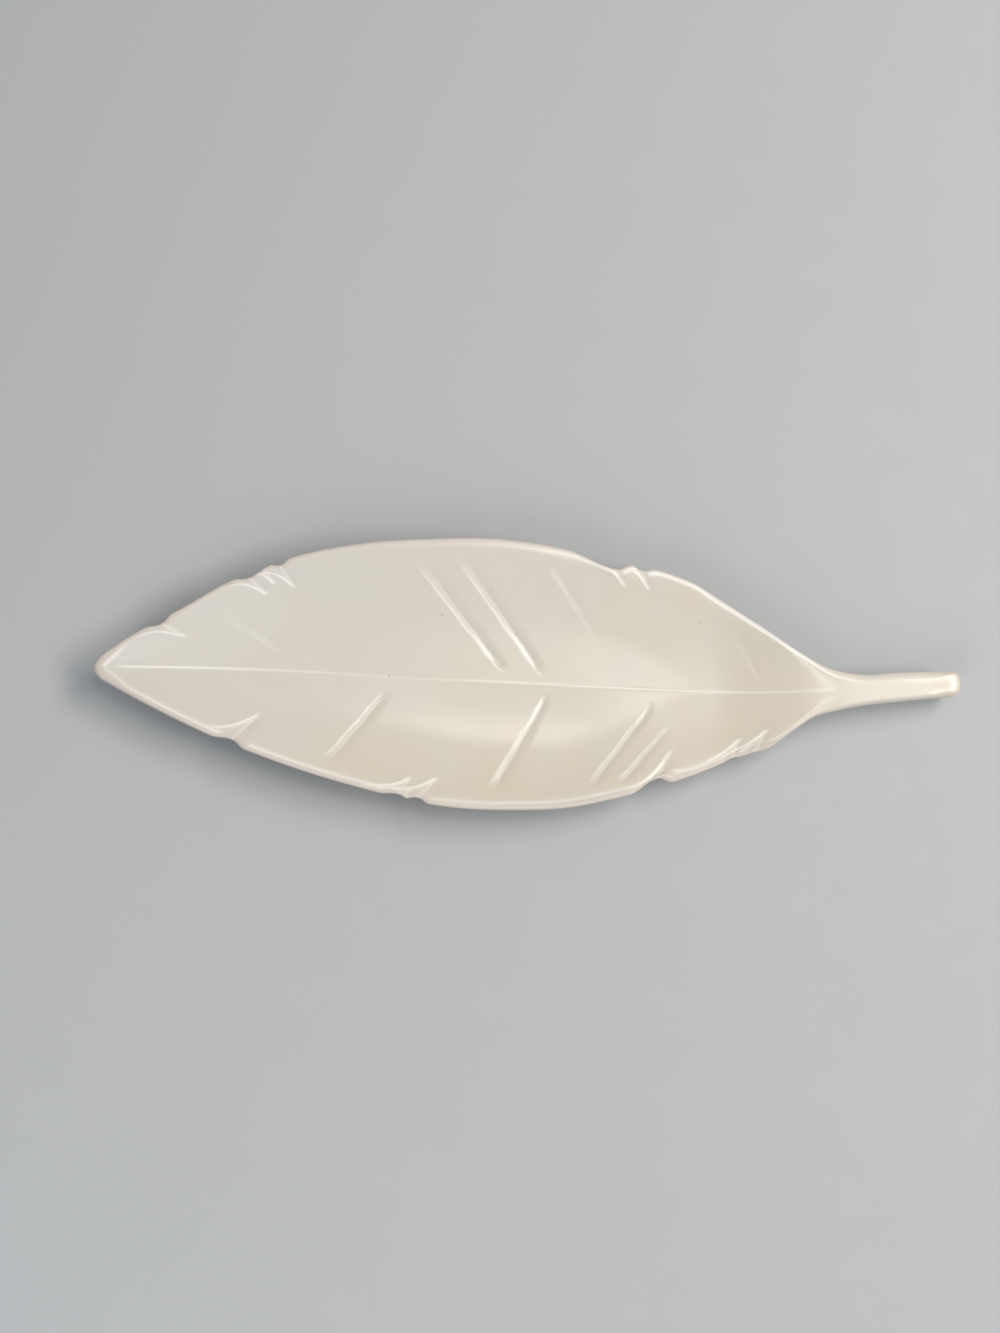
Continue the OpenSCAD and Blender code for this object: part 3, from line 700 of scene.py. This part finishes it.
def plate_surface():
    """Points of the plate in millimetres from the leaf's tip, its faces, and where its glaze differs."""
    roots = station_roots()
    station, side = ring_of(roots)
    ends = barb_end(side, roots[station])
    edges = edge(side, ends)
    wholes = whole_edge(side, ends)
    rises = rim_height(side, ends)

    # Ways from the whole edge to the two middle lines
    spine = np.stack([roots, rib_y(roots)], 1)
    spread = (barb_end(FAR, roots) + barb_end(NEAR, roots)) / 2 / PLATE_L
    under_x = TIP_INSET + (PLATE_L - TIP_INSET - STEM_INSET) * spread
    keel = np.stack([under_x, rib_y(under_x)], 1)
    ways = spine[station] - wholes
    under_ways = keel[station] - wholes
    lengths = np.linalg.norm(ways, axis=1)
    whole = np.ones(len(edges))
    edge_z = (top_z(edges, whole, side, rises) + hull_z(edges, whole, side, rises)) / 2

    # Rings of the top: the rounded rim, the band with the nicks, the open middle and the ridge
    start = round_shares(wholes, ways, side, ends)
    ridge_share = np.minimum(RIDGE_BAND / lengths, (1 - start) * RIDGE_BAND_MOST)
    nick_share = np.minimum(NICK_BAND / lengths, (1 - start - ridge_share) * NICK_BAND_MOST)
    stops = [start, start + nick_share, 1 - ridge_share, whole]
    bands = [(NICK_LEVELS, EVEN), (MIDDLE_LEVELS, MIDDLE_POWER), (RIDGE_LEVELS, EVEN)]
    shares, heights = ring_shares(rim_steps(RIM_LEVELS), stops, bands)
    p = pulled_in(wholes + ways * shares[..., None], edges - wholes, shares * lengths)

    # Heights of the top, with the rim rolled over
    rounding = round_w(side, ends)
    past_rim = (shares / start - 1) * rounding
    roll_slope = ROLL_SHARE * rises * flank_slope(side, ends) * start / rounding
    roll_w = np.minimum(ROLL_W, ROLL_MOST * (1 / start - 1) * rounding)
    roll = roll_slope * roll_w / ROLL_POWER * np.clip(1 - past_rim / roll_w, 0, 1) ** ROLL_POWER
    z = top_z(p, 1 - shares, side, rises) - roll
    top = with_height(p, edge_z + (z - edge_z) * heights)
    spine_points = with_height(spine, rib_z(roots) + ridge(spine))

    # The underside has every second station
    half = np.arange(0, len(station), 2)
    under_start = round_shares(wholes, under_ways, side, ends)
    keel_points, under = underside(
        keel[::2], wholes[half], edges[half] - wholes[half], under_ways[half], side[half], rises[half],
        edge_z[half], under_start[half], station[half] // 2,
    )
    points = np.concatenate([top.reshape(-1, 3), spine_points, under.reshape(-1, 3), keel_points])

    # Where the glaze is painted pale (thin glaze and painted highlight), where it is the rim's, and where
    # the clay is bare
    pale_and_highlight = pale_and_highlight_lines(p, side, ends, past_rim)
    rim = (1 - ease(-RIM_MARK_W, RIM_MARK_W, past_rim)) * blade_part(ends)
    below = np.concatenate([under[..., :2].reshape(-1, 2), keel_points[:, :2]])
    nothing = np.zeros(len(below))
    marks = {
        "pale_and_highlight": np.concatenate([pale_and_highlight.ravel(), rib_pale_and_highlight(roots), nothing]),
        "rim": np.concatenate([rim.ravel(), np.zeros(len(roots)), nothing]),
        "bare": np.concatenate([np.zeros(pale_and_highlight.size + len(roots)), 1 - foot_part(below)]),
    }
    return points, plate_faces(len(top), len(roots), len(under)), marks


def foot_half(x):
    return FOOT_W / 2 * np.sqrt(np.maximum(0, 1 - ((x - FOOT_X) / (FOOT_L / 2)) ** 2))


def foot_part(p):
    """From 0 on the flat foot to 1 beyond its slope."""
    x = (p[..., 0] - FOOT_X) / (FOOT_L / 2)
    y = (p[..., 1] - rib_y(p[..., 0])) / (FOOT_W / 2)
    ring = np.hypot(x, y)
    steepness = np.hypot(x / (FOOT_L / 2), y / (FOOT_W / 2)) + TINY
    return ease(0, FOOT_SLOPE, (ring - 1) * ring / steepness)


def under_z(p, t, side, rise):
    hull = hull_z(p, t, side, rise)
    return PAD_T + (hull - PAD_T) * foot_part(p)


def underside(keel, wholes, shift, ways, side, rises, edge_z, start, station):
    """Points of the keel and of the underside's rings: the rim, the hull, the foot's skirt and the foot."""
    lengths = np.linalg.norm(ways, axis=1)
    foot = np.minimum((foot_half(keel[station, 0]) + FOOT_SLOPE) / lengths, (1 - start) * FOOT_MOST)
    foot = np.maximum(foot, (1 - start) * FOOT_LEAST)
    skirt = np.minimum(SKIRT_SLOPES * FOOT_SLOPE / lengths, foot * SKIRT_MOST)
    stops = [start, 1 - foot, 1 - foot + skirt, np.ones(len(start))]
    bands = [(HULL_LEVELS, EVEN), (SKIRT_LEVELS, EVEN), (FOOT_LEVELS, EVEN)]
    shares, heights = ring_shares(rim_steps(UNDER_RIM_LEVELS)[1:], stops, bands)
    p = pulled_in(wholes + ways * shares[..., None], shift, shares * lengths)
    z = under_z(p, 1 - shares, side, rises)
    return with_height(keel, under_z(keel, 0, FAR, 0)), with_height(p, edge_z + (z - edge_z) * heights)


def plate_faces(top_levels, count, under_levels):
    """Faces between the rings, to the two middle lines, and round the edge where top and underside meet."""
    ring = 2 * count - 2
    station, _ = ring_of(range(count))
    first_under = top_levels * ring + count
    half_ring = ring // 2
    half_count = (count + 1) // 2
    half_station, _ = ring_of(range(half_count))
    i = np.arange(ring)
    j = (i + 1) % ring
    a = np.arange(half_ring)
    b = (a + 1) % half_ring
    faces = []
    for k in range(top_levels - 1):
        faces.append(np.stack([k * ring + i, (k + 1) * ring + i, (k + 1) * ring + j, k * ring + j], 1))
    last = (top_levels - 1) * ring
    middle = top_levels * ring
    faces.append(np.stack([last + i, middle + station[i], middle + station[j], last + j], 1))
    for k in range(under_levels - 1):
        low = first_under + k * half_ring
        high = low + half_ring
        faces.append(np.stack([low + a, low + b, high + b, high + a], 1))
    low = first_under + (under_levels - 1) * half_ring
    middle = first_under + under_levels * half_ring
    faces.append(np.stack([low + a, low + b, middle + half_station[b], middle + half_station[a]], 1))
    even = 2 * a
    odd = even + 1
    after = (even + 2) % ring
    corners = [
        np.stack([even, odd, first_under + a], 1),
        np.stack([odd, first_under + b, first_under + a], 1),
        np.stack([odd, after, first_under + b], 1),
    ]
    return np.concatenate(faces).tolist() + np.concatenate(corners).tolist()


# Materials

# Colours of the glaze, the bare clay, the bumpers and the floor
GLAZE_WARM = (0.635, 0.570, 0.465, 1)
GLAZE_COOL = (0.625, 0.597, 0.545, 1)
# Painted light: the lighter far half of the tip
GLAZE_TIP_LIGHT = (0.68, 0.65, 0.595, 1)
GLAZE_SHADE = (0.60, 0.56, 0.485, 1)
GLAZE_RIM = (0.62, 0.55, 0.485, 1)
# Painted highlight colour, which also stands for thinner glaze on the crests
GLAZE_PALE_AND_HIGHLIGHT = (0.88, 0.85, 0.79, 1)
PINHOLE = (0.2, 0.18, 0.15, 1)
CLAY_LIGHT = (0.58, 0.52, 0.43, 1)
CLAY_DARK = (0.48, 0.42, 0.34, 1)
SILICONE = (0.62, 0.62, 0.6, 1)
SILICONE_DUSTY = (0.5, 0.5, 0.48, 1)
FLOOR_LIGHT = (0.46, 0.47, 0.48, 1)
FLOOR_DARK = (0.43, 0.44, 0.45, 1)

# Patterns of noise: scale per metre and detail, and the ranges that they are stretched from
CLOUDS = (45, 3)
GRAIN = (900, 2)
WAVES = (350, 2)
CLAY_GRAIN = (1500, 2)
DUST = (1800, 4)
FLOOR_CLOUDS = (2.5, 2)
FLOOR_GRAIN = (60, 2)
NOISE_RANGE = (0.3, 0.7)
DUST_RANGE = (0.35, 0.7)
WHOLE_RANGE = (0, 1)

# Painted light tint: the glaze cooler and lighter toward the tip and the far side and warmer toward the
# stem and the near side, and painted light on the far half of the tip; two places in metres, and the shares
# there
ALONG_LIGHT_TINT = ((-0.12, 0.1), (0.2, -0.3))
ACROSS_LIGHT_TINT = ((-0.04, 0.04), (-0.35, 0.15))
TIP_PAINTED_LIGHT = ((-0.165, -0.08), (0.9, 0))
FAR_PAINTED_LIGHT = ((-0.003, 0.003), (0.2, 1))

# Shares of the colours, roughness, and strength and depth of the fine relief
COOL_SHARES = (0.3, 0.7)
GRAIN_SHARES = (0, 0.12)
RIM_SHARE = 0.8
PINHOLE_SHARES = (0.75, 0)
GLAZE_ROUGHNESS = (0.16, 0.22)
CLAY_ROUGHNESS = 0.85
SILICONE_ROUGHNESS = (0.4, 0.6)
FLOOR_ROUGHNESS = (0.75, 0.9)
GLAZE_BUMP = 0.25
SILICONE_BUMP = 0.2
BUMP_DEPTH = 0.0001
SILICONE_GLOW = 0.3
SILICONE_GLOW_DEPTH = (0.002, 0.002, 0.002)

# Pinholes in the glaze: place along and across the plate and size, in millimetres
PINHOLES = [(135.5, 23.5, 0.35), (237.5, 22.5, 0.4), (164.5, 16.5, 0.35), (155, 34, 0.3), (115, -0.8, 0.4)]

# Sockets of a mix node, whose names repeat: the share, two values, two colours and the mixed colour
MIX_SHARE = 0
MIX_VALUES = (2, 3)
MIX_COLOURS = (6, 7)
MIXED_COLOUR = 2


def add_node(tree, kind, inputs, **settings):
    """A shader node whose inputs are values or other nodes' outputs."""
    node = tree.nodes.new("ShaderNode" + kind)
    for name, value in settings.items():
        setattr(node, name, value)
    for key, value in inputs.items():
        if isinstance(value, bpy.types.NodeSocket):
            tree.links.new(value, node.inputs[key])
        else:
            node.inputs[key].default_value = value
    return node


def new_material(name):
    """A material, its tree of nodes, its shader and the place on the piece."""
    material = bpy.data.materials.new(name)
    material.use_nodes = True
    tree = material.node_tree
    place = add_node(tree, "TexCoord", {}).outputs["Object"]
    return material, tree, tree.nodes["Principled BSDF"], place


def noise(tree, place, pattern):
    scale, detail = pattern
    return add_node(tree, "TexNoise", {"Vector": place, "Scale": scale, "Detail": detail}).outputs["Fac"]


def stretch(tree, value, old, new):
    """A value moved from one range to another, and held inside it."""
    inputs = {"Value": value, "From Min": old[0], "From Max": old[1], "To Min": new[0], "To Max": new[1]}
    return add_node(tree, "MapRange", inputs).outputs[0]


def calculate(tree, operation, a, b):
    return add_node(tree, "Math", {0: a, 1: b}, operation=operation).outputs[0]


def blend(tree, share, a, b):
    """A colour between two colours."""
    inputs = {MIX_SHARE: share, MIX_COLOURS[0]: a, MIX_COLOURS[1]: b}
    return add_node(tree, "Mix", inputs, data_type="RGBA").outputs[MIXED_COLOUR]


def blend_values(tree, share, a, b):
    return add_node(tree, "Mix", {MIX_SHARE: share, MIX_VALUES[0]: a, MIX_VALUES[1]: b}).outputs[0]


def mark(tree, name):
    return add_node(tree, "Attribute", {}, attribute_name=name).outputs["Fac"]


def add_bump(tree, shader, height, strength):
    bump = add_node(tree, "Bump", {"Height": height, "Strength": strength, "Distance": BUMP_DEPTH})
    tree.links.new(bump.outputs[0], shader.inputs["Normal"])


def glaze_material(origin):
    material, tree, shader, place = new_material("satin_glaze")

    # Clouds of warmer and cooler white at random, a painted light tint along and across the plate, painted
    # light on the far half of the tip, and a fine grain
    clouds = noise(tree, place, CLOUDS)
    parts = add_node(tree, "SeparateXYZ", {0: place}).outputs
    along_light_tint = stretch(tree, parts["X"], *ALONG_LIGHT_TINT)
    across_light_tint = stretch(tree, parts["Y"], *ACROSS_LIGHT_TINT)
    painted_light_tint = calculate(tree, "ADD", along_light_tint, across_light_tint)
    cool = calculate(tree, "ADD", stretch(tree, clouds, NOISE_RANGE, COOL_SHARES), painted_light_tint)
    colour = blend(tree, cool, GLAZE_WARM, GLAZE_COOL)
    tip_part = stretch(tree, parts["X"], *TIP_PAINTED_LIGHT)
    far_part = stretch(tree, parts["Y"], *FAR_PAINTED_LIGHT)
    colour = blend(tree, calculate(tree, "MULTIPLY", tip_part, far_part), colour, GLAZE_TIP_LIGHT)
    grain = stretch(tree, noise(tree, place, GRAIN), NOISE_RANGE, GRAIN_SHARES)
    colour = blend(tree, grain, colour, GLAZE_SHADE)

    # The rim, the pale lines of thin glaze and painted highlight, the pinholes and the bare clay of the
    # foot
    colour = blend(tree, calculate(tree, "MULTIPLY", mark(tree, "rim"), RIM_SHARE), colour, GLAZE_RIM)
    # Pale lines painted over the glaze: thin glaze with painted highlights
    colour = blend(tree, mark(tree, "pale_and_highlight"), colour, GLAZE_PALE_AND_HIGHLIGHT)
    flat = add_node(tree, "VectorMath", {0: place, 1: (1, 1, 0)}, operation="MULTIPLY").outputs[0]
    for x, y, size in PINHOLES:
        spot = (origin[0] + x * MM, origin[1] + y * MM, 0)
        away = add_node(tree, "VectorMath", {0: flat, 1: spot}, operation="DISTANCE").outputs["Value"]
        hole = stretch(tree, away, (size * MM / 2, size * MM), PINHOLE_SHARES)
        colour = blend(tree, hole, colour, PINHOLE)
    clay_grain = stretch(tree, noise(tree, place, CLAY_GRAIN), NOISE_RANGE, WHOLE_RANGE)
    clay = blend(tree, clay_grain, CLAY_LIGHT, CLAY_DARK)
    bare = mark(tree, "bare")
    colour = blend(tree, bare, colour, clay)
    tree.links.new(colour, shader.inputs["Base Color"])

    gloss = stretch(tree, clouds, NOISE_RANGE, GLAZE_ROUGHNESS)
    roughness = blend_values(tree, bare, gloss, CLAY_ROUGHNESS)
    tree.links.new(roughness, shader.inputs["Roughness"])
    add_bump(tree, shader, noise(tree, place, WAVES), GLAZE_BUMP)
    return material


def silicone_material():
    material, tree, shader, place = new_material("silicone")
    dust = noise(tree, place, DUST)
    colour = blend(tree, stretch(tree, dust, DUST_RANGE, WHOLE_RANGE), SILICONE, SILICONE_DUSTY)
    tree.links.new(colour, shader.inputs["Base Color"])
    roughness = stretch(tree, dust, NOISE_RANGE, SILICONE_ROUGHNESS)
    tree.links.new(roughness, shader.inputs["Roughness"])
    shader.inputs["Subsurface Weight"].default_value = SILICONE_GLOW
    shader.inputs["Subsurface Radius"].default_value = SILICONE_GLOW_DEPTH
    add_bump(tree, shader, dust, SILICONE_BUMP)
    return material


def floor_material():
    material, tree, shader, place = new_material("floor")
    colour = blend(tree, noise(tree, place, FLOOR_CLOUDS), FLOOR_LIGHT, FLOOR_DARK)
    tree.links.new(colour, shader.inputs["Base Color"])
    roughness = stretch(tree, noise(tree, place, FLOOR_GRAIN), NOISE_RANGE, FLOOR_ROUGHNESS)
    tree.links.new(roughness, shader.inputs["Roughness"])
    return material


# Pieces

def add_mesh(name, points, faces, material, marks=None):
    mesh = bpy.data.meshes.new(name)
    mesh.from_pydata(points, [], faces)
    mesh.shade_smooth()
    for mark_name, values in (marks or {}).items():
        mesh.attributes.new(mark_name, "FLOAT", "POINT").data.foreach_set("value", values)
    mesh.materials.append(material)
    piece = bpy.data.objects.new(name, mesh)
    bpy.context.scene.collection.objects.link(piece)
    return piece


# A bumper's profile from its underside to its glued face, as shares of its radius and height
BUMPER_PROFILE = [
    (0.5, 0.06), (0.62, 0), (0.78, 0), (0.85, 0.03), (0.91, 0.1), (0.955, 0.2), (0.985, 0.34), (1, 0.5),
    (1, 0.82), (0.985, 0.88), (0.96, 0.9), (0.96, 1),
]
BUMPER_SIDES = 48

# Half the floor's length and width in metres
FLOOR_HALF = 6


def leaf_origin():
    """Place of the leaf's tip in the part's frame, on the surface that the plate stands on."""
    far_low, far_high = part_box("pad_tip_far")
    near_low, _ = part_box("pad_tip_near")
    pad_x = (far_low.x + far_high.x) / 2 - cad_low.x
    pad_y = (far_high.y + near_low.y) / 2
    return np.array([cad_low.x, pad_y - float(rib_y(pad_x / MM)) * MM, 0])


def add_plate():
    points, faces, marks = plate_surface()
    origin = leaf_origin()
    points = points * MM + origin
    plate = add_mesh("leaf_plate", points.tolist(), faces, glaze_material(origin), marks)
    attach(plate, "root")
    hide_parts("plate_body")


def add_bumper(node, material):
    """A round moulded bumper in the place of a pad: its profile turned about its axis."""
    low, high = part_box(node)
    middle = (low + high) / 2
    radius = (high.x - low.x) / 2
    height = high.z - low.z
    rings = []
    for out, up in BUMPER_PROFILE:
        for k in range(BUMPER_SIDES):
            turn = 2 * math.pi * k / BUMPER_SIDES
            x = middle.x + radius * out * math.cos(turn)
            y = middle.y + radius * out * math.sin(turn)
            rings.append((x, y, low.z + height * up))
    faces = [tuple(reversed(range(BUMPER_SIDES)))]
    for level in range(len(BUMPER_PROFILE) - 1):
        for k in range(BUMPER_SIDES):
            a = level * BUMPER_SIDES + k
            b = level * BUMPER_SIDES + (k + 1) % BUMPER_SIDES
            faces.append((a, b, b + BUMPER_SIDES, a + BUMPER_SIDES))
    faces.append(tuple(range(len(rings) - BUMPER_SIDES, len(rings))))
    bumper = add_mesh(node.replace("pad", "bumper"), rings, faces, material)
    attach(bumper, "root")
    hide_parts(node)


def add_floor():
    corners = [(x * FLOOR_HALF, y * FLOOR_HALF, 0) for x, y in ((-1, -1), (1, -1), (1, 1), (-1, 1))]
    floor = add_mesh("floor", corners, [(0, 1, 2, 3)], floor_material())


# Light and camera

# Lights that face the plate: place and size in metres, power in watts, and colour
WARM_LIGHT = (1, 0.97, 0.93)
COOL_LIGHT = (0.9, 0.95, 1)
LIGHTS = [
    ("overhead", (0.13, 0.22, 1.3), (0.22, 0.22), 0.9, WARM_LIGHT),
    ("side", (1.1, 0.2, 1.2), (1.6, 0.5), 25.5, WARM_LIGHT),
    ("fill", (-0.45, -0.75, 0.6), (0.7, 0.7), 3.2, COOL_LIGHT),
]
ROOM_COLOUR = (0.95, 0.97, 1, 1)
ROOM_STRENGTH = 0.345

# Camera: angles in degrees, distance and target in metres, and lens in millimetres
CAMERA_ELEVATION = 80
CAMERA_ROLL = 0.927
CAMERA_DISTANCE = 0.65
CAMERA_TARGET = (-0.01148, 0.00265, 0.014)
CAMERA_LENS = 44.79


def add_light(name, place, size, power, colour):
    """A rectangular light that faces the origin."""
    light = bpy.data.lights.new(name, "AREA")
    light.shape = "RECTANGLE"
    light.size, light.size_y = size
    light.energy = power
    light.color = colour
    lamp = bpy.data.objects.new(name, light)
    lamp.location = place
    lamp.rotation_euler = (-Vector(place)).to_track_quat("-Z", "Y").to_euler()
    bpy.context.scene.collection.objects.link(lamp)


def add_room():
    """Light from all round, and colours shown as they are."""
    world = bpy.data.worlds.new("room")
    world.use_nodes = True
    background = world.node_tree.nodes["Background"]
    background.inputs["Color"].default_value = ROOM_COLOUR
    background.inputs["Strength"].default_value = ROOM_STRENGTH
    bpy.context.scene.world = world
    bpy.context.scene.view_settings.view_transform = "Standard"


def add_camera():
    camera = bpy.data.cameras.new("camera")
    camera.lens = CAMERA_LENS
    viewer = bpy.data.objects.new("camera", camera)
    target = Matrix.Translation(CAMERA_TARGET)
    tilt = Matrix.Rotation(math.radians(90 - CAMERA_ELEVATION), 4, "X")
    roll = Matrix.Rotation(math.radians(CAMERA_ROLL), 4, "Z")
    back = Matrix.Translation((0, 0, CAMERA_DISTANCE))
    viewer.matrix_world = target @ tilt @ roll @ back
    bpy.context.scene.collection.objects.link(viewer)
    bpy.context.scene.camera = viewer


add_plate()
silicone = silicone_material()
for pad in ("pad_tip_far", "pad_tip_near", "pad_stem_far", "pad_stem_near"):
    add_bumper(pad, silicone)
add_floor()
for light in LIGHTS:
    add_light(*light)
add_room()
add_camera()
